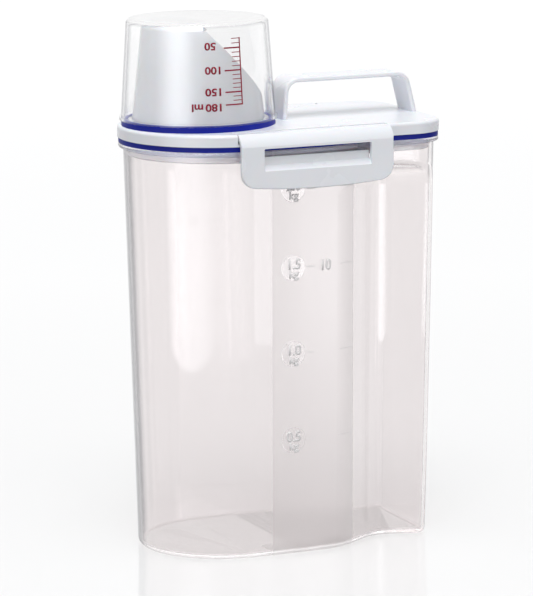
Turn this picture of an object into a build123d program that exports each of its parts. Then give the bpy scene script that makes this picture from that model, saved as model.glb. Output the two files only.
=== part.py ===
from build123d import *

import os

# Clear pet food container with a clip-down lid, a pouring spout and a measuring cup.
# All sizes are in millimetres. X runs from the round pouring end to the narrow end,
# Y from front to back, and Z up. The origin is in the middle of the flat base.

# Plan of the container. The lid's edge is the outline that every other outline lies inside.
container_length = 163.0
round_end_radius = 52.0
narrow_half_depth = 47.6
narrow_corner_radius = 20.0
flank_bend_start = -5.0
flank_bend_end = 50.0
round_end_x = round_end_radius - container_length / 2
narrow_end_x = container_length / 2

# Heights of the stack: jar mouth, lid seal, lid, cup seal and cup
mouth_height = 212.6
lid_seal_thickness = 2.7
lid_band_height = 6.2
cup_seal_thickness = 3.0
cup_height = 51.9
lid_underside = mouth_height + lid_seal_thickness
lid_top = lid_underside + lid_band_height
cup_rim_height = lid_top + cup_seal_thickness
cup_top = cup_rim_height + cup_height

# Jar
jar_base_inset = 7.4
jar_draft = 1.25
jar_wall = 2.0
jar_floor = 2.2
jar_base_round = 3.0
flange_inset = 0.3
flange_thickness = 2.6
flange_round = 1.0

# Finger grooves in the long sides, given in plan at the base
groove_x = 50.0
groove_half_gap = 27.5
groove_radius = 18.0
groove_long_slope = 33.0
groove_short_slope = 16.0
groove_wall_length = 15.5
groove_run_out = 10.0
groove_shoulder_radius = 30.0
groove_shoulder_turn = 19.0
groove_reach = 80.0
groove_top = 198.0
groove_scoop = 12.0
groove_outer_share = 0.75
groove_lip_round = 5.0

# Lid
lid_rim_width = 7.0
lid_plate = 2.2
lid_edge_round = 1.6
skirt_inset = 5.2
skirt_depth = 9.0
skirt_lead_in = 0.7
seal_groove_depth = 0.5
seal_groove_height = 1.6
boss_drop = 3.0
boss_wall = 2.2
notch_boss_overlap = 4.4

# Lid seal
lid_seal_inset = 0.5
seal_fit = 0.05

# Pouring spout, its seal and the measuring cup, all on one vertical axis
spout_x = -40.2
spout_bore = 32.5
spout_neck_radius = 33.9
spout_neck_depth = 3.2
spout_collar_radius = 36.2
spout_collar_top = 3.2
spout_foot_radius = 34.2
spout_roof_radius = 28.6
spout_height = 52.0
spout_wall = 1.6
spout_roof_round = 2.0
spout_cut_height = 44.0
hood_reach = 2.3
hood_arc_radius = 41.9
spout_clearance = 0.1
counterbore_depth = 1.0

cup_seal_radius = 39.7
cup_seal_lip_radius = 38.3
cup_seal_lip_height = 0.5

cup_flange_radius = 40.8
cup_flange_thickness = 1.6
cup_mouth_radius = 39.9
cup_end_radius = 36.6
cup_wall = 1.4
cup_end_thickness = 1.5
cup_end_round = 2.4

# Handle
strap_width = 19.0
strap_thickness = 2.5
strap_round = 1.0
strap_height = 21.6
strap_bend_radius = 6.75
near_foot_x = 4.45
near_shoulder_x = 5.85
far_foot_x = 78.2
far_shoulder_x = 73.3
tongue_thickness = 2.0
tongue_width = 16.0
tongue_depth = 2.15
tongue_clearance = 0.05

# Latches
latch_centre_x = 3.2
latch_width = 84.0
latch_end_gap = 0.4
pivot_y = 45.2
pivot_height = 219.1
knuckle_radius = 2.3
pin_radius = 1.2
pin_length = 2.2
pin_hole_radius = 1.25
pin_hole_depth = 2.2
latch_plate_y = 55.2
latch_plate_thickness = 2.2
latch_arm_thickness = 2.7
latch_crest_y = 50.2
latch_bend_y = 53.3
latch_bend_height = 218.8
latch_fold_height = 215.2
latch_inner_crest_y = 49.6
latch_inner_bend_y = 51.9
latch_inner_bend_height = 217.6
latch_inner_fold_height = 215.6
latch_bottom = 192.4
latch_corner_bottom = 194.8
latch_corner_radius = 8.0
latch_edge_round = 0.7
slot_centre_x = 3.1
slot_width = 59.2
slot_bottom = 202.6
slot_top = 214.0
hook_inset = 1.6
hook_top = 209.5
hook_lip_y = 52.2
hook_lip_height = 205.4
hook_wall_y = 51.6
hook_root_y = 46.0
hook_tip_thickness = 2.5
hook_root_drop = 1.0
slot_corner_radius = 0.6
notch_inner_y = 42.6
notch_floor = 216.6
cut_margin = 5.0


def container_plan(inset, height):
    """Plan of the container at a height, a given distance inside the lid's edge."""
    bend_middle_x = (flank_bend_start + flank_bend_end) / 2
    bend_middle_y = (round_end_radius + narrow_half_depth) / 2
    corner_start_x = narrow_end_x - narrow_corner_radius
    corner_end_y = narrow_half_depth - narrow_corner_radius
    with BuildSketch(Plane.XY.offset(height), mode=Mode.PRIVATE) as plan:
        with BuildLine():
            CenterArc((round_end_x, 0), round_end_radius, 90, 90)
            flank = Line((round_end_x, round_end_radius), (flank_bend_start, round_end_radius))
            turn_in = TangentArc(flank @ 1, (bend_middle_x, bend_middle_y), tangent=flank % 1)
            turn_back = TangentArc(turn_in @ 1, (flank_bend_end, narrow_half_depth), tangent=turn_in % 1)
            side = Line(turn_back @ 1, (corner_start_x, narrow_half_depth))
            corner = TangentArc(side @ 1, (narrow_end_x, corner_end_y), tangent=side % 1)
            Line(corner @ 1, (narrow_end_x, 0))
            mirror(about=Plane.XZ)
        make_face()
        if inset > 0:
            offset(amount=-inset, kind=Kind.INTERSECTION)
    return plan.sketch


def grip_cutter(growth):
    """Drafted wedge with a scooped top that leaves the front finger groove."""
    apex_centre = (groove_x, -groove_half_gap - groove_radius)
    with BuildSketch(mode=Mode.PRIVATE) as groove_plan:
        with BuildLine():
            apex = CenterArc(
                apex_centre,
                groove_radius,
                90 - groove_short_slope,
                groove_short_slope + groove_long_slope,
            )
            long_wall = PolarLine(apex @ 1, groove_wall_length, direction=apex % 1)
            shoulder = JernArc(
                long_wall @ 1, long_wall % 1, groove_shoulder_radius, -groove_shoulder_turn
            )
            run_out = PolarLine(shoulder @ 1, groove_run_out, direction=shoulder % 1)
            short_wall = PolarLine(apex @ 0, narrow_end_x - groove_x + groove_run_out, direction=-(apex % 0))
            Polyline(
                run_out @ 1,
                ((run_out @ 1).X, -groove_reach),
                ((short_wall @ 1).X, -groove_reach),
                short_wall @ 1,
            )
        make_face()
        if growth > 0:
            offset(amount=growth, kind=Kind.INTERSECTION)
    with BuildPart(mode=Mode.PRIVATE) as cutter:
        extrude(groove_plan.sketch, amount=groove_top + growth, taper=jar_draft)
        top_edges = cutter.edges().group_by(Axis.Z)[-1]
        scoop_edges = top_edges.filter_by(lambda edge: edge.center().Y > -groove_reach * groove_outer_share)
        fillet(scoop_edges, radius=groove_scoop + growth)
    return cutter.part


def groove_lips(part):
    """Edges where the finger grooves meet the narrow end; a round on one runs on round its groove."""
    return part.edges().filter_by(GeomType.PARABOLA)


# Jar: drafted walls, a finger groove in each long side and a flange round the mouth
outer_cutter = grip_cutter(0)
inner_cutter = grip_cutter(jar_wall)

with BuildPart() as cavity:
    cavity_inset = jar_base_inset + jar_wall
    extrude(container_plan(cavity_inset, 0), amount=mouth_height, taper=-jar_draft)
    split(bisect_by=Plane.XY.offset(jar_floor), keep=Keep.TOP)
    add(inner_cutter, mode=Mode.SUBTRACT)
    mirror(inner_cutter, about=Plane.XZ, mode=Mode.SUBTRACT)
    fillet(groove_lips(cavity), radius=groove_lip_round - jar_wall)
    fillet(cavity.faces().sort_by(Axis.Z)[0].edges(), radius=jar_base_round - jar_wall)

with BuildPart() as jar:
    extrude(container_plan(jar_base_inset, 0), amount=mouth_height, taper=-jar_draft)
    add(outer_cutter, mode=Mode.SUBTRACT)
    mirror(outer_cutter, about=Plane.XZ, mode=Mode.SUBTRACT)
    fillet(groove_lips(jar), radius=groove_lip_round)
    fillet(jar.faces().sort_by(Axis.Z)[0].edges(), radius=jar_base_round)
    flange = extrude(container_plan(flange_inset, mouth_height - flange_thickness), amount=flange_thickness)
    fillet(flange.edges().filter_by(Plane.XY), radius=flange_round)
    add(cavity.part, mode=Mode.SUBTRACT)
    jar.part.label = "jar"

# Lid: rim and top plate over a plug skirt, bosses under its pockets, and a recess for each latch
notch_left = latch_centre_x - latch_width / 2 - latch_end_gap
notch_width = latch_width + 2 * latch_end_gap
notch_depth = round_end_radius - notch_inner_y
boss_bottom = lid_top - lid_plate - boss_drop
skirt_bottom = lid_underside - skirt_depth
seal_groove_bottom = mouth_height + (lid_seal_thickness - seal_groove_height) / 2

with BuildPart() as lid:
    extrude(container_plan(0, lid_underside), amount=lid_band_height)
    fillet(lid.edges().group_by(Axis.Z)[-1], radius=lid_edge_round)
    extrude(container_plan(skirt_inset, skirt_bottom), amount=skirt_depth)
    chamfer(lid.edges().group_by(Axis.Z)[0], length=skirt_lead_in)
    pocket_height = lid_top - lid_plate - skirt_bottom
    extrude(container_plan(lid_rim_width, skirt_bottom), amount=pocket_height, mode=Mode.SUBTRACT)
    # Bosses under the spout opening, the near handle pocket and the inner walls of the recesses
    with BuildSketch(Plane.XY.offset(boss_bottom)):
        with Locations((spout_x, 0)):
            Circle(spout_neck_radius + boss_wall)
        with Locations((near_foot_x, 0)):
            Rectangle(tongue_thickness + 2 * boss_wall, tongue_width + 2 * boss_wall)
    extrude(amount=boss_drop)
    with BuildSketch(Plane.XY.offset(lid_underside)):
        with GridLocations(0, 2 * (notch_inner_y + boss_wall / 2), 1, 2):
            with Locations((latch_centre_x, 0)):
                Rectangle(notch_width + 2 * boss_wall, boss_wall + notch_boss_overlap)
    extrude(amount=lid_band_height - lid_plate)
    # Groove in the skirt that holds the lid seal's inner lip
    with BuildSketch(Plane.XY.offset(seal_groove_bottom)):
        add(container_plan(lid_seal_inset, 0))
        add(container_plan(skirt_inset + seal_groove_depth, 0), mode=Mode.SUBTRACT)
    extrude(amount=seal_groove_height, mode=Mode.SUBTRACT)
    # Spout opening with its counterbore
    with BuildSketch(Plane.XY.offset(boss_bottom)):
        with Locations((spout_x, 0)):
            Circle(spout_neck_radius + spout_clearance)
    extrude(amount=lid_top - boss_bottom, mode=Mode.SUBTRACT)
    with BuildSketch(Plane.XY.offset(lid_top - counterbore_depth)):
        with Locations((spout_x, 0)):
            Circle(spout_collar_radius + spout_clearance)
    extrude(amount=counterbore_depth, mode=Mode.SUBTRACT)
    # Pockets for the handle's tongues
    with BuildSketch(Plane.XY.offset(lid_top - tongue_depth - tongue_clearance)):
        with Locations((near_foot_x, 0), (far_foot_x, 0)):
            Rectangle(tongue_thickness + 2 * tongue_clearance, tongue_width + 2 * tongue_clearance)
    extrude(amount=tongue_depth + tongue_clearance, mode=Mode.SUBTRACT)
    # Latch recesses and the holes for the latch pins in their end walls
    with BuildSketch(Plane.XY.offset(notch_floor)):
        with GridLocations(0, 2 * notch_inner_y + 2 * notch_depth, 1, 2):
            with Locations((latch_centre_x, 0)):
                Rectangle(notch_width, 2 * notch_depth)
    extrude(amount=lid_top - notch_floor, mode=Mode.SUBTRACT)
    with BuildSketch(Plane.YZ.offset(notch_left - pin_hole_depth)):
        with Locations((-pivot_y, pivot_height), (pivot_y, pivot_height)):
            Circle(pin_hole_radius)
    extrude(amount=notch_width + 2 * pin_hole_depth, mode=Mode.SUBTRACT)
    lid.part.label = "lid"

# Lid seal: soft ring between the lid's edge and the jar's flange, with a lip in the skirt's groove
with BuildPart() as lid_seal:
    extrude(container_plan(lid_seal_inset, mouth_height), amount=lid_seal_thickness)
    extrude(container_plan(skirt_inset, mouth_height), amount=lid_seal_thickness, mode=Mode.SUBTRACT)
    with BuildSketch(Plane.XY.offset(seal_groove_bottom + seal_fit)):
        add(container_plan(skirt_inset, 0))
        add(container_plan(skirt_inset + seal_groove_depth - seal_fit, 0), mode=Mode.SUBTRACT)
    extrude(amount=seal_groove_height - 2 * seal_fit)
    lid_seal.part.label = "lid_seal"

# Pouring spout: a tapered tube with a level hood over one half and a sloping mouth in the other
spout_axis = Axis((spout_x, 0, 0), (0, 0, 1))
spout_plane = Plane(origin=(spout_x, 0, 0), x_dir=(1, 0, 0), z_dir=(0, -1, 0))
spout_top = lid_top + spout_height
spout_ceiling = spout_top - spout_wall
spout_cut_top = spout_cut_height - spout_height + spout_wall
spout_cut_end = spout_collar_radius + 3 * cut_margin

with BuildPart() as pour_spout:
    with BuildSketch(spout_plane):
        with BuildLine():
            Polyline(
                (spout_bore, lid_top - spout_neck_depth),
                (spout_neck_radius, lid_top - spout_neck_depth),
                (spout_neck_radius, lid_top - counterbore_depth),
                (spout_collar_radius, lid_top - counterbore_depth),
                (spout_collar_radius, lid_top + spout_collar_top),
                (spout_foot_radius, lid_top + spout_collar_top),
                (spout_roof_radius, spout_top),
                (0, spout_top),
                (0, spout_ceiling),
                (spout_roof_radius - spout_wall, spout_ceiling),
                (spout_bore, lid_top + spout_collar_top),
                close=True,
            )
        make_face()
    revolve(axis=spout_axis)
    fillet(pour_spout.edges().group_by(Axis.Z)[-1], radius=spout_roof_round)
    with BuildSketch(spout_plane):
        with BuildLine():
            Polyline(
                (spout_cut_top, spout_ceiling),
                (spout_cut_end, spout_ceiling),
                (spout_cut_end, lid_top + spout_cut_height - spout_cut_end),
                close=True,
            )
        make_face()
    extrude(amount=spout_collar_radius, both=True, mode=Mode.SUBTRACT)
    with BuildSketch(Plane.XY.offset(spout_ceiling)):
        with Locations((spout_x, 0)):
            Circle(spout_collar_radius)
        with Locations((spout_x + hood_reach - hood_arc_radius, 0)):
            Circle(hood_arc_radius, mode=Mode.SUBTRACT)
    extrude(amount=spout_wall, mode=Mode.SUBTRACT)
    pour_spout.part.label = "pour_spout"

# Cup seal: soft ring round the spout's collar with a lip that stands inside the cup's mouth
with BuildPart() as cup_seal:
    with BuildSketch(spout_plane):
        with BuildLine():
            Polyline(
                (spout_collar_radius + spout_clearance, lid_top),
                (cup_seal_radius, lid_top),
                (cup_seal_radius, cup_rim_height),
                (cup_seal_lip_radius, cup_rim_height),
                (cup_seal_lip_radius, cup_rim_height + cup_seal_lip_height),
                (spout_collar_radius + spout_clearance, cup_rim_height + cup_seal_lip_height),
                close=True,
            )
        make_face()
    revolve(axis=spout_axis)
    cup_seal.part.label = "cup_seal"

# Measuring cup: stands upside down over the spout
with BuildPart() as measuring_cup:
    with BuildSketch(spout_plane) as cup_section:
        with BuildLine():
            Polyline(
                (cup_mouth_radius - cup_wall, cup_rim_height),
                (cup_flange_radius, cup_rim_height),
                (cup_flange_radius, cup_rim_height + cup_flange_thickness),
                (cup_mouth_radius, cup_rim_height + cup_flange_thickness),
                (cup_end_radius, cup_top),
                (0, cup_top),
                (0, cup_top - cup_end_thickness),
                (cup_end_radius - cup_wall, cup_top - cup_end_thickness),
                close=True,
            )
        make_face()
    revolve(axis=spout_axis)
    fillet(measuring_cup.edges().group_by(Axis.Z)[-1], radius=cup_end_round)
    measuring_cup.part.label = "measuring_cup"

# Handle: a bent strap whose feet stand on the lid, with a tongue under each foot
strap_middle_height = lid_top + strap_height - strap_thickness / 2
with BuildPart() as handle:
    with BuildSketch(Plane.XZ):
        with BuildLine():
            near_run = (near_shoulder_x - near_foot_x) / (strap_middle_height - lid_top)
            far_run = (far_shoulder_x - far_foot_x) / (strap_middle_height - lid_top)
            FilletPolyline(
                (near_foot_x - near_run * strap_thickness, lid_top - strap_thickness),
                (near_shoulder_x, strap_middle_height),
                (far_shoulder_x, strap_middle_height),
                (far_foot_x - far_run * strap_thickness, lid_top - strap_thickness),
                radius=strap_bend_radius,
            )
        trace(line_width=strap_thickness)
    extrude(amount=strap_width / 2, both=True)
    split(bisect_by=Plane.XY.offset(lid_top), keep=Keep.TOP)
    side_edges = handle.faces().filter_by(Axis.Y).edges()
    fillet(side_edges.filter_by(lambda edge: (edge @ 0.5).Z > lid_top), radius=strap_round)
    with BuildSketch(Plane.XY.offset(lid_top)):
        with Locations((near_foot_x, 0), (far_foot_x, 0)):
            Rectangle(tongue_thickness, tongue_width)
    extrude(amount=-tongue_depth)
    handle.part.label = "handle"

# Latches: a knuckle with two pins, an arm over the lid's edge and a slotted plate with a hook
plate_inner_y = latch_plate_y - latch_plate_thickness
arm_top = pivot_height + knuckle_radius
arm_underside = arm_top - latch_arm_thickness
latch_left = latch_centre_x - latch_width / 2
latch_right = latch_centre_x + latch_width / 2
flange_bottom = mouth_height - flange_thickness
view_top = lid_top + cut_margin

with BuildPart() as front_latch:
    with BuildSketch(Plane.YZ.offset(latch_left)):
        with BuildLine():
            outer_bend = ThreePointArc(
                (-latch_crest_y, arm_top),
                (-latch_bend_y, latch_bend_height),
                (-latch_plate_y, latch_fold_height),
            )
            inner_bend = ThreePointArc(
                (-plate_inner_y, latch_inner_fold_height),
                (-latch_inner_bend_y, latch_inner_bend_height),
                (-latch_inner_crest_y, arm_underside),
            )
            Polyline(
                inner_bend @ 1, (-pivot_y, arm_underside), (-pivot_y, arm_top), outer_bend @ 0
            )
            Polyline(
                outer_bend @ 1,
                (-latch_plate_y, latch_bottom),
                (-plate_inner_y, latch_bottom),
                inner_bend @ 0,
            )
        make_face()
        with Locations((-pivot_y, pivot_height)):
            Circle(knuckle_radius)
    extrude(amount=latch_width)
    # Front view: round lower corners, a slightly bowed lower edge and the slot
    with BuildSketch(Plane.XZ) as front_view:
        with BuildLine():
            bow = ThreePointArc(
                (latch_left, latch_corner_bottom),
                (latch_centre_x, latch_bottom),
                (latch_right, latch_corner_bottom),
            )
            Polyline(bow @ 1, (latch_right, view_top), (latch_left, view_top), bow @ 0)
        make_face()
        fillet(front_view.vertices().group_by(Axis.Y)[0], radius=latch_corner_radius)
        with Locations((slot_centre_x, (slot_bottom + slot_top) / 2)):
            RectangleRounded(slot_width, slot_top - slot_bottom, slot_corner_radius, mode=Mode.SUBTRACT)
    extrude(amount=latch_plate_y + cut_margin, mode=Mode.INTERSECT)
    plate_face = front_latch.faces().filter_by(Plane.XZ).sort_by(Axis.Y)[0]
    plate_rim = plate_face.outer_wire().edges().filter_by(lambda edge: (edge @ 0.5).Z < latch_fold_height)
    fillet(plate_rim, radius=latch_edge_round)
    # Hook across the slot: a bevelled lip and an upright tip that follows the jar's flange
    with BuildSketch(Plane.YZ.offset(slot_centre_x - slot_width / 2)):
        with BuildLine():
            Polyline(
                (-latch_plate_y, slot_bottom),
                (-hook_lip_y, hook_lip_height),
                (-hook_wall_y, hook_top),
                (-hook_root_y, hook_top),
                (-hook_root_y, hook_top - hook_tip_thickness),
                (-plate_inner_y, slot_bottom - hook_root_drop),
                (-latch_plate_y, slot_bottom - hook_root_drop),
                close=True,
            )
        make_face()
    extrude(amount=slot_width)
    extrude(container_plan(hook_inset, latch_bottom), amount=flange_bottom - latch_bottom, mode=Mode.SUBTRACT)
    # Hinge pins on both ends of the knuckle
    with BuildSketch(Plane.YZ.offset(latch_left - pin_length)):
        with Locations((-pivot_y, pivot_height)):
            Circle(pin_radius)
    extrude(amount=latch_width + 2 * pin_length)
    front_latch.part.label = "front_latch"

with BuildPart() as rear_latch:
    mirror(front_latch.part, about=Plane.XZ)
    rear_latch.part.label = "rear_latch"

pieces = [jar, lid, lid_seal, pour_spout, cup_seal, measuring_cup, handle, front_latch, rear_latch]
os.makedirs("parts", exist_ok=True)
for piece in pieces:
    export_step(piece.part, f"parts/{piece.part.label}.step")
    print(piece.part.label, round(piece.part.volume), piece.part.is_valid, len(piece.part.solids()))
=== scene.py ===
"""Looks of a clear pet food container: its plastics, its printed scales and a plain studio.

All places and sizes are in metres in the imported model's frame. X runs from the round pouring
end to the narrow end, Y from front to back, and Z up from the flat base.
"""

import math

import bpy
from mathutils import Matrix, Vector


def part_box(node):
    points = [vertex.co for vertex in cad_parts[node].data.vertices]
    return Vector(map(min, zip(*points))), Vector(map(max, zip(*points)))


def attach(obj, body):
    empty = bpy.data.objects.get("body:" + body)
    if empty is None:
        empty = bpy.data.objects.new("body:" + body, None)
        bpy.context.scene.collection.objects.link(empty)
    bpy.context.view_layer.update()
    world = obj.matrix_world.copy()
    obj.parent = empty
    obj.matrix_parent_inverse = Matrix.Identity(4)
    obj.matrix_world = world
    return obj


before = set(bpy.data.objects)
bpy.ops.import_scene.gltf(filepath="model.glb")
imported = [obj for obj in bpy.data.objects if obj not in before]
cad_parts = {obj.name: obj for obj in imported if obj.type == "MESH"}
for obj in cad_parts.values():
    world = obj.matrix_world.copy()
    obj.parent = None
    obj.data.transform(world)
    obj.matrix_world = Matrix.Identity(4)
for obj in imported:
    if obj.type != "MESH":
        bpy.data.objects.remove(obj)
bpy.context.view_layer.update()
bpy.ops.object.select_all(action="DESELECT")

MM = 0.001
MILLILITRE = 1e-6
FACING_FRONT = (math.pi / 2, 0, 0)
FACING_FRONT_UPSIDE_DOWN = (math.pi / 2, math.pi, 0)

# Camera, fitted to the photograph's 533 x 596 frame
PICTURE_HEIGHT = 596
CAMERA_TARGET = Vector((-10.2, 0, 136.3)) * MM
CAMERA_DISTANCE = 1.999
CAMERA_AZIMUTH = math.radians(-22.498)
CAMERA_ELEVATION = math.radians(10.011)
CAMERA_ROLL = math.radians(-0.671)
FOCAL_PIXELS = 3829.4
SENSOR_HEIGHT = 36.0
MATRIX_SIZE = 4
OPTICAL_AXIS_LEFT = 12.4
OPTICAL_AXIS_UP = 16.4

# How far light is followed through the clear walls and round the glossy ones
CLEAR_BOUNCES = 32
GLOSS_BOUNCES = 12

# The cup's cone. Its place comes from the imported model, and its radii are the solid's own
CUP_FLANGE_HEIGHT = 1.6 * MM
CUP_MOUTH_RADIUS = 39.9 * MM
CUP_END_RADIUS = 36.6 * MM
cup_low, cup_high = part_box("measuring_cup")
cup_axis_x = (cup_low.x + cup_high.x) / 2
cup_cone_height = cup_high.z - cup_low.z - CUP_FLANGE_HEIGHT
cup_cone_slope = (CUP_MOUTH_RADIUS - CUP_END_RADIUS) / cup_cone_height

# Lettering, on the cup and on the jar
LETTER_SWELL = 0.03
LETTER_CURVE_STEPS = 4

# Printed lines and raised dashes are bars with this many steps sideways and up
BAR_SIDEWAYS_STEPS = 12
BAR_UPWARD_STEPS = 2

# Millilitre scale on the cup, which stands upside down
SCALE_LINE_ANGLE = math.radians(13.0)
SCALE_LINE_WIDTH = 0.75 * MM
LONG_TICK = 9.6 * MM
LONG_TICK_WIDTH = 0.75 * MM
SHORT_TICK = 5.1 * MM
SHORT_TICK_WIDTH = 0.4 * MM
FIRST_MARK = 30
LAST_MARK = 180
MARK_STEP = 10
NUMBER_ANGLE = math.radians(-16.3)
NUMBER_SIZE = 5.3 * MM
NUMBER_STRETCH = 1.2
UNIT_GAP = 1.0 * MM
PRINT_THICKNESS = 0.05 * MM

# The marks stand where this cone holds their volumes: its radius where it ends, and how far
# that end is under the cup's top
SCALE_END_RADIUS = 36.27 * MM
SCALE_END_DEPTH = 0.4 * MM

# The marks with a number, and how far each number stands above its mark
NUMBERED_MARKS = {50: 1.3 * MM, 100: 0.5 * MM, 150: 0.5 * MM, 180: -0.9 * MM}

# Frosted window on the jar's front, which lies in front of this depth
WINDOW_LEFT = -19.6 * MM
WINDOW_RIGHT = 27.7 * MM
WINDOW_DEPTH = -27.7 * MM
WINDOW_EDGE = 0.9 * MM

# Round badges with a weight on each, at these heights
WEIGHT_MARKS = {
    "0.5": 60.5 * MM,
    "1.0": 106.0 * MM,
    "1.5": 150.8 * MM,
    "2.0": 191.5 * MM,
}
BADGE_X = -8.2 * MM
BADGE_RADIUS = 6.6 * MM
BADGE_SIDES = 64
BADGE_RELIEF = 0.3 * MM
BADGE_ROUNDING = 0.7 * BADGE_RELIEF
BADGE_ROUNDING_STEPS = 3
WEIGHT_SIZE = 7.6 * MM
WEIGHT_STRETCH = 0.86
WEIGHT_RISE = 1.7 * MM
WEIGHT_UNIT_SIZE = 5.8 * MM
WEIGHT_UNIT_STRETCH = 1.0
WEIGHT_UNIT_DROP = 3.4 * MM

# Dashes beside each badge, and a count beside one of them
NEAR_DASH_X = 1.6 * MM
NEAR_DASH_LENGTH = 4.4 * MM
FAR_DASH_X = 22.6 * MM
FAR_DASH_LENGTH = 8.0 * MM
DASH_WIDTH = 0.7 * MM
COUNT_X = 9.9 * MM
COUNT_HEIGHT = WEIGHT_MARKS["1.5"]
FIGURE_RELIEF = 0.2 * MM

# Raised pieces start this far in front of the jar, and end this far from what carries them
WALL_APPROACH = -60.0 * MM
WALL_GAP = 0.02 * MM

# Skin of every plastic: clouds in its gloss, and a ripple
GLOSS_CLOUD_SCALE = 35.0
GLOSS_CLOUD_DETAIL = 4.0
GLOSS_CLOUD_LOW = 0.3
GLOSS_CLOUD_HIGH = 0.7
RIPPLE_DETAIL = 2.0

# Tone of every plastic: clouds between two near colours
TONE_CLOUD_DETAIL = 3.0
TONE_CLOUD_LOW = 0.35
TONE_CLOUD_HIGH = 0.65

# Opaque plastics and silicone
OPAQUE_GLOSS_SPREAD = 0.08
OPAQUE_RIPPLE_SCALE = 140.0
OPAQUE_TONE_SCALE = 14.0
SUBSURFACE_REACH = 2.0 * MM

# Clear plastics
CLEAR_GLOSS_SPREAD = 0.4
CLEAR_RIPPLE_SCALE = 60.0
CLEAR_TONE_SCALE = 9.0
CLEAR_REFRACTION = 1.49
CLEAR_GLOSS_TINT = (0.78, 0.79, 0.81, 1)

# Light that has met more surfaces than this goes straight through clear plastic
CAUGHT_DEPTH = 7.5

# Painted shade: a clear wall's tone darkens over this rise where the wall is seen along its
# length, as a grey outline. The darkness is full on an upright wall, and falls to a share on a
# level one
EDGE_BLEND = 0.5
EDGE_RISE = 0.17
UPRIGHT_TILT = 0.3
LEVEL_TILT = 0.85
LEVEL_SHARE = 0.2

# The jar's clear plastic, its frosted window, and its rim's cooler tone, a painted reflection of
# the blue seal
JAR_TONE = (0.916, 0.889, 0.889)
JAR_SHADE = (0.908, 0.881, 0.881)
JAR_ROUGHNESS = 0.04
JAR_RIPPLE_DEPTH = 0.02 * MM
# Painted shade on the jar where its wall is seen along its length, and the facing where it starts
JAR_PAINTED_EDGE_SHADE = (0.12, 0.12, 0.13)
JAR_PAINTED_SHADE_START = 0.6
FROST_TONE = (0.885, 0.857, 0.855, 1)
FROST_ROUGHNESS = 0.28
FROST_EDGE_TONE = (0.85, 0.82, 0.82, 1)
# Painted reflection of the blue seal: the rim turns this cooler tone between these heights
RIM_PAINTED_SEAL_REFLECTION = (0.86, 0.87, 0.96, 1)
RIM_START = 209.0 * MM
RIM_FULL = 211.5 * MM

# Studio. The floor glows a little where it is seen, and more so away from the container
FLOOR_SIZE = 14
FLOOR_TONE = (0.6, 0.6, 0.6, 1)
FLOOR_ROUGHNESS = 0.05
FLOOR_GLOW_START = 0.2
FLOOR_GLOW_FULL = 0.8
FLOOR_GLOW_NEAR = 0.285
FLOOR_GLOW_FAR = 0.345
AMBIENT_TONE = (0.97, 0.98, 1, 1)
AMBIENT_STRENGTH = 0.5
WHITE = (1, 1, 1, 1)
WHITE_STRENGTH = 1.0

# A lamp fades towards its sides by this power of a sine
LAMP_FADE = 1.5

# A lamp counts as seen directly while its light has turned on fewer surfaces than this
DIRECT_TURNS = 0.5


def add_node(tree, kind, sockets=None, **settings):
    """Adds a shader node with its settings, and with values or links for its sockets."""
    added = tree.nodes.new("ShaderNode" + kind)
    for name, value in settings.items():
        setattr(added, name, value)
    for name, value in (sockets or {}).items():
        if isinstance(value, bpy.types.NodeSocket):
            tree.links.new(value, added.inputs[name])
        else:
            added.inputs[name].default_value = value
    return added


def worked_out(tree, operation, first, second=0.0):
    """What a Math node makes of one or two values."""
    return add_node(tree, "Math", {0: first, 1: second}, operation=operation).outputs[0]


def ramp(tree, value, start, full, low=0.0, high=1.0):
    """Goes from low to high as the value goes from start to full."""
    limits = {"Value": value, "From Min": start, "From Max": full, "To Min": low, "To Max": high}
    return add_node(tree, "MapRange", limits).outputs["Result"]


def blended(tree, share, first, second):
    """A colour between two others, by the share of the second."""
    colours = {"Factor": share, "A": first, "B": second}
    return add_node(tree, "Mix", colours, data_type="RGBA").outputs["Result"]


def clouds(tree, scale, detail):
    """Cloudy noise that keeps its place on the piece."""
    place = add_node(tree, "TexCoord").outputs["Object"]
    noise = add_node(tree, "TexNoise", {"Vector": place, "Scale": scale, "Detail": detail})
    return noise.outputs["Fac"]


def start_group(name, inputs, outputs):
    """An empty shader node group, with what it is given and the sockets of its results."""
    group = bpy.data.node_groups.new(name, "ShaderNodeTree")
    for label, kind in inputs.items():
        group.interface.new_socket(label, in_out="INPUT", socket_type=kind)
    for label, kind in outputs.items():
        group.interface.new_socket(label, in_out="OUTPUT", socket_type=kind)
    given = group.nodes.new("NodeGroupInput").outputs
    results = group.nodes.new("NodeGroupOutput").inputs
    return group, given, results


def moulded_skin_group():
    """Surface of moulded plastic: an uneven gloss and a very shallow ripple."""
    group, given, results = start_group(
        "moulded_skin",
        {
            "Roughness": "NodeSocketFloat",
            "Spread": "NodeSocketFloat",
            "Ripple Scale": "NodeSocketFloat",
            "Ripple Depth": "NodeSocketFloat",
        },
        {"Roughness": "NodeSocketFloat", "Normal": "NodeSocketVector"},
    )
    gloss_clouds = clouds(group, GLOSS_CLOUD_SCALE, GLOSS_CLOUD_DETAIL)
    low = worked_out(group, "SUBTRACT", given["Roughness"], given["Spread"])
    high = worked_out(group, "ADD", given["Roughness"], given["Spread"])
    gloss = ramp(group, gloss_clouds, GLOSS_CLOUD_LOW, GLOSS_CLOUD_HIGH, low, high)
    ripple = clouds(group, given["Ripple Scale"], RIPPLE_DETAIL)
    bump = add_node(
        group, "Bump", {"Strength": 1.0, "Distance": given["Ripple Depth"], "Height": ripple}
    )
    group.links.new(gloss, results["Roughness"])
    group.links.new(bump.outputs["Normal"], results["Normal"])
    return group


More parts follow.
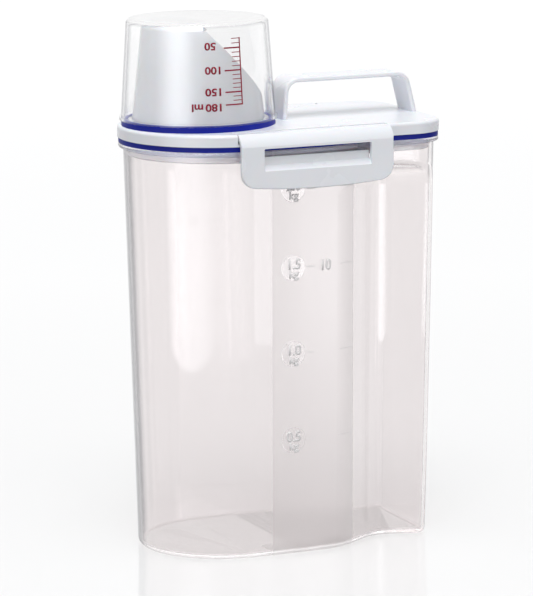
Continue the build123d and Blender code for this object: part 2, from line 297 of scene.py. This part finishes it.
def cloudy_tone_group():
    """Slight cloudy change of tone through the plastic."""
    group, given, results = start_group(
        "cloudy_tone",
        {"Color": "NodeSocketColor", "Shade": "NodeSocketColor", "Scale": "NodeSocketFloat"},
        {"Color": "NodeSocketColor"},
    )
    tone_clouds = clouds(group, given["Scale"], TONE_CLOUD_DETAIL)
    share = ramp(group, tone_clouds, TONE_CLOUD_LOW, TONE_CLOUD_HIGH)
    group.links.new(blended(group, share, given["Color"], given["Shade"]), results["Color"])
    return group


def frosted_window_group():
    """Where the jar's front is frosted: an upright window without its round weight badges."""
    group, _, results = start_group(
        "frosted_window", {}, {"Frost": "NodeSocketFloat", "Edge": "NodeSocketFloat"}
    )
    place = add_node(group, "TexCoord").outputs["Object"]
    axes = add_node(group, "SeparateXYZ", {0: place}).outputs
    middle = (WINDOW_LEFT + WINDOW_RIGHT) / 2
    half_width = (WINDOW_RIGHT - WINDOW_LEFT) / 2
    aside = worked_out(group, "ABSOLUTE", worked_out(group, "SUBTRACT", axes["X"], middle))
    within = worked_out(group, "LESS_THAN", aside, half_width)
    in_front = worked_out(group, "LESS_THAN", axes["Y"], WINDOW_DEPTH)
    frost = worked_out(group, "MULTIPLY", within, in_front)
    at_side = worked_out(group, "GREATER_THAN", aside, half_width - WINDOW_EDGE)
    edge = worked_out(group, "MULTIPLY", at_side, frost)
    upright = add_node(group, "VectorMath", {0: place, 1: (1, 0, 1)}, operation="MULTIPLY")
    for height in WEIGHT_MARKS.values():
        reach = add_node(
            group,
            "VectorMath",
            {0: upright.outputs[0], 1: (BADGE_X, 0, height)},
            operation="DISTANCE",
        )
        outside = worked_out(group, "GREATER_THAN", reach.outputs["Value"], BADGE_RADIUS)
        frost = worked_out(group, "MULTIPLY", frost, outside)
    group.links.new(frost, results["Frost"])
    group.links.new(edge, results["Edge"])
    return group


moulded_skin = moulded_skin_group()
cloudy_tone = cloudy_tone_group()
frosted_window = frosted_window_group()


def start_material(name):
    """An empty node material and its tree."""
    material = bpy.data.materials.new(name)
    material.use_nodes = True
    material.node_tree.nodes.clear()
    return material, material.node_tree


def skin_of(tree, roughness, spread, ripple_scale, ripple_depth):
    """The moulded skin with one plastic's own values. The spread is a share of the roughness."""
    values = {
        "Roughness": roughness,
        "Spread": roughness * spread,
        "Ripple Scale": ripple_scale,
        "Ripple Depth": ripple_depth,
    }
    return add_node(tree, "Group", values, node_tree=moulded_skin).outputs


def tone_of(tree, colour, shade, scale):
    """The cloudy tone between two colours."""
    values = {"Color": (*colour, 1), "Shade": (*shade, 1), "Scale": scale}
    return add_node(tree, "Group", values, node_tree=cloudy_tone).outputs["Color"]


def opaque_plastic(name, colour, shade, roughness, ripple_depth, subsurface, specular):
    """Solid moulded plastic, silicone or ink with an uneven gloss and tone."""
    material, tree = start_material(name)
    skin = skin_of(tree, roughness, OPAQUE_GLOSS_SPREAD, OPAQUE_RIPPLE_SCALE, ripple_depth)
    surface = add_node(
        tree,
        "BsdfPrincipled",
        {
            "Base Color": tone_of(tree, colour, shade, OPAQUE_TONE_SCALE),
            "Roughness": skin["Roughness"],
            "Normal": skin["Normal"],
            "Subsurface Weight": subsurface,
            "Subsurface Scale": SUBSURFACE_REACH,
            "Specular IOR Level": specular,
        },
    )
    add_node(tree, "OutputMaterial", {"Surface": surface.outputs[0]})
    return material


def edge_shaded(tree, tone, shade, start):
    """Painted shade: darkens a clear plastic's tone where an upright wall is seen along its length.
    """
    facing = add_node(tree, "LayerWeight", {"Blend": EDGE_BLEND}).outputs["Facing"]
    along = ramp(tree, facing, start, start + EDGE_RISE)
    normal = add_node(tree, "NewGeometry").outputs["Normal"]
    axes = add_node(tree, "SeparateXYZ", {0: normal}).outputs
    tilt = worked_out(tree, "ABSOLUTE", axes["Z"])
    upright = ramp(tree, tilt, UPRIGHT_TILT, LEVEL_TILT, 1.0, LEVEL_SHARE)
    share = worked_out(tree, "MULTIPLY", along, upright)
    return blended(tree, share, tone, (*shade, 1))


def clear_surface(tree, colour, roughness, normal, straight_tint):
    """Ends a clear plastic's tree. A lamp's light, and light caught in a wall, goes straight on."""
    surface = add_node(
        tree,
        "BsdfPrincipled",
        {
            "Base Color": colour,
            "Roughness": roughness,
            "Normal": normal,
            "Transmission Weight": 1.0,
            "IOR": CLEAR_REFRACTION,
            "Specular Tint": CLEAR_GLOSS_TINT,
        },
    )
    path = add_node(tree, "LightPath").outputs
    caught = worked_out(tree, "GREATER_THAN", path["Ray Depth"], CAUGHT_DEPTH)
    straight = worked_out(tree, "MAXIMUM", path["Is Shadow Ray"], caught)
    clear = add_node(tree, "BsdfTransparent", {"Color": (*straight_tint, 1)})
    mixed = add_node(
        tree, "MixShader", {0: straight, 1: surface.outputs[0], 2: clear.outputs[0]}
    )
    add_node(tree, "OutputMaterial", {"Surface": mixed.outputs[0]})


def clear_plastic(name, colour, shade, edge, edge_start, roughness, ripple_depth):
    """Clear plastic, as on the measuring cup and in the jar's raised badges, with painted shade at
    its edges.
    """
    material, tree = start_material(name)
    skin = skin_of(tree, roughness, CLEAR_GLOSS_SPREAD, CLEAR_RIPPLE_SCALE, ripple_depth)
    tone = tone_of(tree, colour, shade, CLEAR_TONE_SCALE)
    # Painted shade: the tone darkens where the wall is seen along its length
    with_painted_shade = edge_shaded(tree, tone, edge, edge_start)
    clear_surface(tree, with_painted_shade, skin["Roughness"], skin["Normal"], colour)
    return material


def jar_plastic():
    """The jar's clear plastic, with its frosted window, the window's edges and the rim's painted
    reflection.
    """
    material, tree = start_material("clear_jar")
    skin = skin_of(tree, JAR_ROUGHNESS, CLEAR_GLOSS_SPREAD, CLEAR_RIPPLE_SCALE, JAR_RIPPLE_DEPTH)
    window = add_node(tree, "Group", node_tree=frosted_window).outputs
    tone = tone_of(tree, JAR_TONE, JAR_SHADE, CLEAR_TONE_SCALE)
    tone = blended(tree, window["Frost"], tone, FROST_TONE)
    tone = blended(tree, window["Edge"], tone, FROST_EDGE_TONE)
    place = add_node(tree, "TexCoord").outputs["Object"]
    axes = add_node(tree, "SeparateXYZ", {0: place}).outputs
    # Painted reflection of the blue seal: the rim turns a cooler tone towards its top
    tone = blended(tree, ramp(tree, axes["Z"], RIM_START, RIM_FULL), tone, RIM_PAINTED_SEAL_REFLECTION)
    # Painted shade: the tone darkens where the wall is seen along its length
    tone = edge_shaded(tree, tone, JAR_PAINTED_EDGE_SHADE, JAR_PAINTED_SHADE_START)
    roughness = add_node(
        tree, "Mix", {"Factor": window["Frost"], "A": skin["Roughness"], "B": FROST_ROUGHNESS}
    )
    clear_surface(tree, tone, roughness.outputs[0], skin["Normal"], JAR_TONE)
    return material


white_plastic = opaque_plastic(
    "white_plastic",
    colour=(0.85, 0.867, 0.905),
    shade=(0.845, 0.862, 0.90),
    roughness=0.26,
    ripple_depth=0.005 * MM,
    subsurface=0.12,
    specular=0.5,
)
milky_plastic = opaque_plastic(
    "milky_plastic",
    colour=(0.51, 0.52, 0.545),
    shade=(0.495, 0.505, 0.53),
    roughness=0.2,
    ripple_depth=0.003 * MM,
    subsurface=0.2,
    specular=1.0,
)
blue_silicone = opaque_plastic(
    "blue_silicone",
    colour=(0.008, 0.018, 0.30),
    shade=(0.006, 0.013, 0.24),
    roughness=0.5,
    ripple_depth=0.02 * MM,
    subsurface=0.0,
    specular=0.12,
)
red_ink = opaque_plastic(
    "red_ink",
    colour=(0.30, 0.010, 0.03),
    shade=(0.24, 0.008, 0.025),
    roughness=0.45,
    ripple_depth=0.0,
    subsurface=0.0,
    specular=0.2,
)
clear_cup = clear_plastic(
    "clear_cup",
    colour=(0.965, 0.965, 0.965),
    shade=(0.955, 0.955, 0.96),
    # Painted shade where the cup's wall is seen along its length, and where it starts
    edge=(0.12, 0.125, 0.14),
    edge_start=0.66,
    roughness=0.03,
    ripple_depth=0.01 * MM,
)
clear_relief = clear_plastic(
    "clear_relief",
    colour=(0.92, 0.915, 0.915),
    shade=(0.91, 0.905, 0.905),
    # Painted shade where a badge's wall is seen along its length, and where it starts
    edge=(0.6, 0.6, 0.6),
    edge_start=0.75,
    roughness=0.12,
    ripple_depth=0.0,
)
frosted_relief = opaque_plastic(
    "frosted_relief",
    colour=(0.97, 0.95, 0.95),
    shade=(0.96, 0.94, 0.94),
    roughness=0.4,
    ripple_depth=0.0,
    subsurface=0.0,
    specular=0.3,
)
clear_jar = jar_plastic()

NODE_MATERIALS = {
    "jar": clear_jar,
    "lid": white_plastic,
    "lid_seal": blue_silicone,
    "pour_spout": milky_plastic,
    "cup_seal": blue_silicone,
    "measuring_cup": clear_cup,
    "handle": white_plastic,
    "front_latch": white_plastic,
    "rear_latch": white_plastic,
}
for node_name, node_material in NODE_MATERIALS.items():
    for material_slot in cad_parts[node_name].material_slots:
        material_slot.material = node_material


def select_only(pieces):
    """Selects these objects alone, with the first one active."""
    bpy.ops.object.select_all(action="DESELECT")
    for piece in pieces:
        piece.select_set(True)
    bpy.context.view_layer.objects.active = pieces[0]


def apply_modifier(piece, kind, **settings):
    """Adds a modifier with its settings and applies it."""
    select_only([piece])
    modifier = piece.modifiers.new(kind.lower(), kind)
    for name, value in settings.items():
        setattr(modifier, name, value)
    bpy.ops.object.modifier_apply(modifier=modifier.name)


def join(parts):
    """Joins several flat parts, at their places, into one object."""
    select_only(parts)
    bpy.ops.object.transform_apply(location=True, rotation=True, scale=True)
    bpy.ops.object.join()
    return parts[0]


def finish_piece(piece, name, material, body):
    """Names a new piece, gives it its finish and lets it ride on a body."""
    piece.name = name
    piece.data.name = name
    piece.data.materials.clear()
    piece.data.materials.append(material)
    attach(piece, body)


def flat_bar(centre_x, centre_z, width, height):
    """A bar in the XZ plane, with enough edges to follow a round wall."""
    bpy.ops.mesh.primitive_grid_add(
        x_subdivisions=BAR_SIDEWAYS_STEPS,
        y_subdivisions=BAR_UPWARD_STEPS,
        size=1,
        rotation=FACING_FRONT,
    )
    bar = bpy.context.active_object
    bar.scale = (width, height, 1)
    bar.location = (centre_x, 0, centre_z)
    return bar


def flat_text(words, size, stretch, align, rotation):
    """Lettering as a flat mesh in the XZ plane."""
    bpy.ops.object.text_add()
    lettering = bpy.context.active_object
    lettering.data.body = words
    lettering.data.size = size
    lettering.data.offset = size * LETTER_SWELL
    lettering.data.align_x = align
    lettering.data.align_y = "CENTER"
    lettering.data.resolution_u = LETTER_CURVE_STEPS
    bpy.ops.object.convert(target="MESH")
    lettering.scale.x = stretch
    lettering.rotation_euler = rotation
    bpy.ops.object.transform_apply(location=True, rotation=True, scale=True)
    return lettering


def mark_height(millilitres):
    """Height of a mark on the upturned cup, where its cone holds that volume above it."""
    volume = millilitres * MILLILITRE
    cubed = SCALE_END_RADIUS**3 + 3 * cup_cone_slope * volume / math.pi
    depth = (cubed ** (1 / 3) - SCALE_END_RADIUS) / cup_cone_slope
    return cup_high.z - SCALE_END_DEPTH - depth


def wrap_on_cup(piece):
    """Bends a flat print round the cup: its x becomes the way round, and its z stays."""
    for vertex in piece.data.vertices:
        radius = CUP_END_RADIUS + cup_cone_slope * (cup_high.z - vertex.co.z)
        angle = vertex.co.x / CUP_MOUTH_RADIUS
        vertex.co.x = cup_axis_x + radius * math.sin(angle)
        vertex.co.y = -radius * math.cos(angle)


def cup_scale():
    """The red millilitre scale, upside down on the upturned cup."""
    line_x = SCALE_LINE_ANGLE * CUP_MOUTH_RADIUS
    number_x = NUMBER_ANGLE * CUP_MOUTH_RADIUS
    line_top = mark_height(FIRST_MARK)
    line_bottom = mark_height(LAST_MARK)
    line_middle = (line_top + line_bottom) / 2
    line_height = line_top - line_bottom + LONG_TICK_WIDTH
    parts = [flat_bar(line_x, line_middle, SCALE_LINE_WIDTH, line_height)]
    for mark in range(FIRST_MARK, LAST_MARK + 1, MARK_STEP):
        length = LONG_TICK if mark in NUMBERED_MARKS else SHORT_TICK
        width = LONG_TICK_WIDTH if mark in NUMBERED_MARKS else SHORT_TICK_WIDTH
        parts.append(flat_bar(line_x - length / 2, mark_height(mark), length, width))
    for mark, rise in NUMBERED_MARKS.items():
        number = flat_text(
            str(mark), NUMBER_SIZE, NUMBER_STRETCH, "RIGHT", FACING_FRONT_UPSIDE_DOWN
        )
        number.location = (number_x, 0, mark_height(mark) + rise)
        parts.append(number)
    unit = flat_text("ml", NUMBER_SIZE, NUMBER_STRETCH, "LEFT", FACING_FRONT_UPSIDE_DOWN)
    unit_height = mark_height(LAST_MARK) + NUMBERED_MARKS[LAST_MARK]
    unit.location = (number_x - UNIT_GAP, 0, unit_height)
    parts.append(unit)
    scale = join(parts)
    wrap_on_cup(scale)
    apply_modifier(scale, "SOLIDIFY", thickness=PRINT_THICKNESS, offset=1)
    finish_piece(scale, "cup_scale", red_ink, "cup")


def lay_on_jar(piece, gap):
    """Moves a flat piece from in front of the jar back on to its front wall."""
    piece.location.y = WALL_APPROACH
    select_only([piece])
    bpy.ops.object.transform_apply(location=True, rotation=True, scale=True)
    apply_modifier(
        piece,
        "SHRINKWRAP",
        target=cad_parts["jar"],
        wrap_method="PROJECT",
        use_project_y=True,
        use_positive_direction=True,
        offset=gap,
    )


def badge_discs():
    """The polished round badges that stand out on the frosted window."""
    discs = []
    for height in WEIGHT_MARKS.values():
        bpy.ops.mesh.primitive_circle_add(
            vertices=BADGE_SIDES, radius=BADGE_RADIUS, fill_type="NGON", rotation=FACING_FRONT
        )
        disc = bpy.context.active_object
        disc.location = (BADGE_X, 0, height)
        discs.append(disc)
    badges = join(discs)
    lay_on_jar(badges, WALL_GAP)
    apply_modifier(badges, "SOLIDIFY", thickness=BADGE_RELIEF, offset=1)
    apply_modifier(
        badges,
        "BEVEL",
        width=BADGE_ROUNDING,
        segments=BADGE_ROUNDING_STEPS,
        limit_method="ANGLE",
    )
    finish_piece(badges, "badge_discs", clear_relief, "container")


def badge_figures():
    """The raised weights on the badges."""
    parts = []
    for words, height in WEIGHT_MARKS.items():
        weight = flat_text(words, WEIGHT_SIZE, WEIGHT_STRETCH, "CENTER", FACING_FRONT)
        weight.location = (BADGE_X, 0, height + WEIGHT_RISE)
        unit = flat_text("kg", WEIGHT_UNIT_SIZE, WEIGHT_UNIT_STRETCH, "CENTER", FACING_FRONT)
        unit.location = (BADGE_X, 0, height - WEIGHT_UNIT_DROP)
        parts += [weight, unit]
    figures = join(parts)
    lay_on_jar(figures, BADGE_RELIEF + 2 * WALL_GAP)
    apply_modifier(figures, "SOLIDIFY", thickness=FIGURE_RELIEF, offset=1)
    finish_piece(figures, "badge_figures", frosted_relief, "container")


def window_marks():
    """The dashes beside each badge and the count between two of them, raised on the window."""
    parts = []
    for height in WEIGHT_MARKS.values():
        parts.append(flat_bar(NEAR_DASH_X, height, NEAR_DASH_LENGTH, DASH_WIDTH))
        parts.append(flat_bar(FAR_DASH_X, height, FAR_DASH_LENGTH, DASH_WIDTH))
    count = flat_text("10", WEIGHT_SIZE, WEIGHT_STRETCH, "CENTER", FACING_FRONT)
    count.location = (COUNT_X, 0, COUNT_HEIGHT)
    parts.append(count)
    marks = join(parts)
    lay_on_jar(marks, WALL_GAP)
    apply_modifier(marks, "SOLIDIFY", thickness=FIGURE_RELIEF, offset=1)
    finish_piece(marks, "window_marks", frosted_relief, "container")


cup_scale()
badge_discs()
badge_figures()
window_marks()


def shows_background(tree):
    """One where the background is seen: by the camera, in a gloss or through a clear wall."""
    path = add_node(tree, "LightPath").outputs
    seen = worked_out(tree, "MAXIMUM", path["Is Camera Ray"], path["Is Glossy Ray"])
    return worked_out(tree, "MAXIMUM", seen, path["Is Transmission Ray"])


def studio():
    """A pale polished floor and a white surround."""
    bpy.ops.mesh.primitive_plane_add(size=FLOOR_SIZE)
    floor = bpy.context.active_object
    floor.name = "studio_floor"
    material, tree = start_material("studio_floor")
    place = add_node(tree, "TexCoord").outputs["Object"]
    reach = add_node(tree, "VectorMath", {0: place}, operation="LENGTH").outputs["Value"]
    glow = ramp(
        tree, reach, FLOOR_GLOW_START, FLOOR_GLOW_FULL, FLOOR_GLOW_NEAR, FLOOR_GLOW_FAR
    )
    surface = add_node(
        tree,
        "BsdfPrincipled",
        {
            "Base Color": FLOOR_TONE,
            "Roughness": FLOOR_ROUGHNESS,
            "Emission Color": WHITE,
            "Emission Strength": worked_out(tree, "MULTIPLY", shows_background(tree), glow),
        },
    )
    add_node(tree, "OutputMaterial", {"Surface": surface.outputs[0]})
    floor.data.materials.append(material)

    world = bpy.data.worlds.new("studio")
    bpy.context.scene.world = world
    world.use_nodes = True
    tree = world.node_tree
    tree.nodes.clear()
    ambient = add_node(tree, "Background", {"Color": AMBIENT_TONE, "Strength": AMBIENT_STRENGTH})
    white = add_node(tree, "Background", {"Color": WHITE, "Strength": WHITE_STRENGTH})
    mixed = add_node(
        tree,
        "MixShader",
        {0: shows_background(tree), 1: ambient.outputs[0], 2: white.outputs[0]},
    )
    add_node(tree, "OutputWorld", {"Surface": mixed.outputs[0]})


def softbox(name, place, aim, width, height, radiance):
    """A rectangular lamp turned towards a point. Its sides fade, and no clear wall shows it."""
    lamp = bpy.data.lights.new(name, "AREA")
    lamp.shape = "RECTANGLE"
    lamp.size = width
    lamp.size_y = height
    lamp.energy = radiance * math.pi * width * height
    lamp.use_nodes = True
    tree = lamp.node_tree
    tree.nodes.clear()
    across = add_node(tree, "NewGeometry").outputs["Parametric"]
    share_across = add_node(tree, "SeparateXYZ", {0: across}).outputs["X"]
    bow = worked_out(tree, "SINE", worked_out(tree, "MULTIPLY", share_across, math.pi))
    faded = worked_out(tree, "POWER", bow, LAMP_FADE)
    path = add_node(tree, "LightPath").outputs
    turns = worked_out(tree, "ADD", path["Glossy Depth"], path["Diffuse Depth"])
    direct = worked_out(tree, "LESS_THAN", turns, DIRECT_TURNS)
    through_wall = worked_out(tree, "MULTIPLY", direct, path["Is Transmission Ray"])
    shown = worked_out(tree, "SUBTRACT", 1.0, through_wall)
    strength = worked_out(tree, "MULTIPLY", faded, shown)
    light = add_node(tree, "Emission", {"Strength": strength})
    add_node(tree, "OutputLight", {"Surface": light.outputs[0]})
    holder = bpy.data.objects.new(name, lamp)
    bpy.context.scene.collection.objects.link(holder)
    holder.location = place
    holder.rotation_euler = (Vector(aim) - Vector(place)).to_track_quat("-Z", "Y").to_euler()
    holder.visible_camera = False
    return holder


def glints_on(pieces, lamps):
    """Lets these lamps light only these pieces, so that the polished floor doesn't mirror them."""
    receivers = bpy.data.collections.new("glint_receivers")
    for piece in pieces:
        receivers.objects.link(piece)
    for lamp in lamps:
        lamp.visible_diffuse = False
        lamp.light_linking.receiver_collection = receivers


product_pieces = [item for item in bpy.context.scene.objects if item.type == "MESH"]
studio()
softbox(
    "top_softbox",
    place=(-0.19, -0.46, 1.35),
    aim=(0, 0, 0.14),
    width=1.0,
    height=1.0,
    radiance=6.4,
)
left_glint = softbox(
    "left_glint",
    place=(-0.406, -0.2455, 0.4),
    aim=(-0.064, -0.032, 0.4),
    width=0.58,
    height=0.8,
    radiance=1.95,
)
right_glint = softbox(
    "right_glint",
    place=(0.275, -0.417, 0.0),
    aim=(0.05, -0.03, 0.0),
    width=0.4,
    height=0.26,
    radiance=3.4,
)
glints_on(product_pieces, [left_glint, right_glint])

camera_data = bpy.data.cameras.new("camera")
camera_data.sensor_fit = "VERTICAL"
camera_data.sensor_height = SENSOR_HEIGHT
camera_data.lens = FOCAL_PIXELS * SENSOR_HEIGHT / PICTURE_HEIGHT
camera_data.shift_x = OPTICAL_AXIS_LEFT / PICTURE_HEIGHT
camera_data.shift_y = -OPTICAL_AXIS_UP / PICTURE_HEIGHT
camera = bpy.data.objects.new("camera", camera_data)
bpy.context.scene.collection.objects.link(camera)
camera.matrix_world = (
    Matrix.Translation(CAMERA_TARGET)
    @ Matrix.Rotation(CAMERA_AZIMUTH, MATRIX_SIZE, "Z")
    @ Matrix.Rotation(math.pi / 2 - CAMERA_ELEVATION, MATRIX_SIZE, "X")
    @ Matrix.Translation((0, 0, CAMERA_DISTANCE))
    @ Matrix.Rotation(CAMERA_ROLL, MATRIX_SIZE, "Z")
)
scene = bpy.context.scene
scene.camera = camera
scene.view_settings.view_transform = "Standard"
scene.cycles.max_bounces = CLEAR_BOUNCES
scene.cycles.transmission_bounces = CLEAR_BOUNCES
scene.cycles.transparent_max_bounces = CLEAR_BOUNCES
scene.cycles.glossy_bounces = GLOSS_BOUNCES
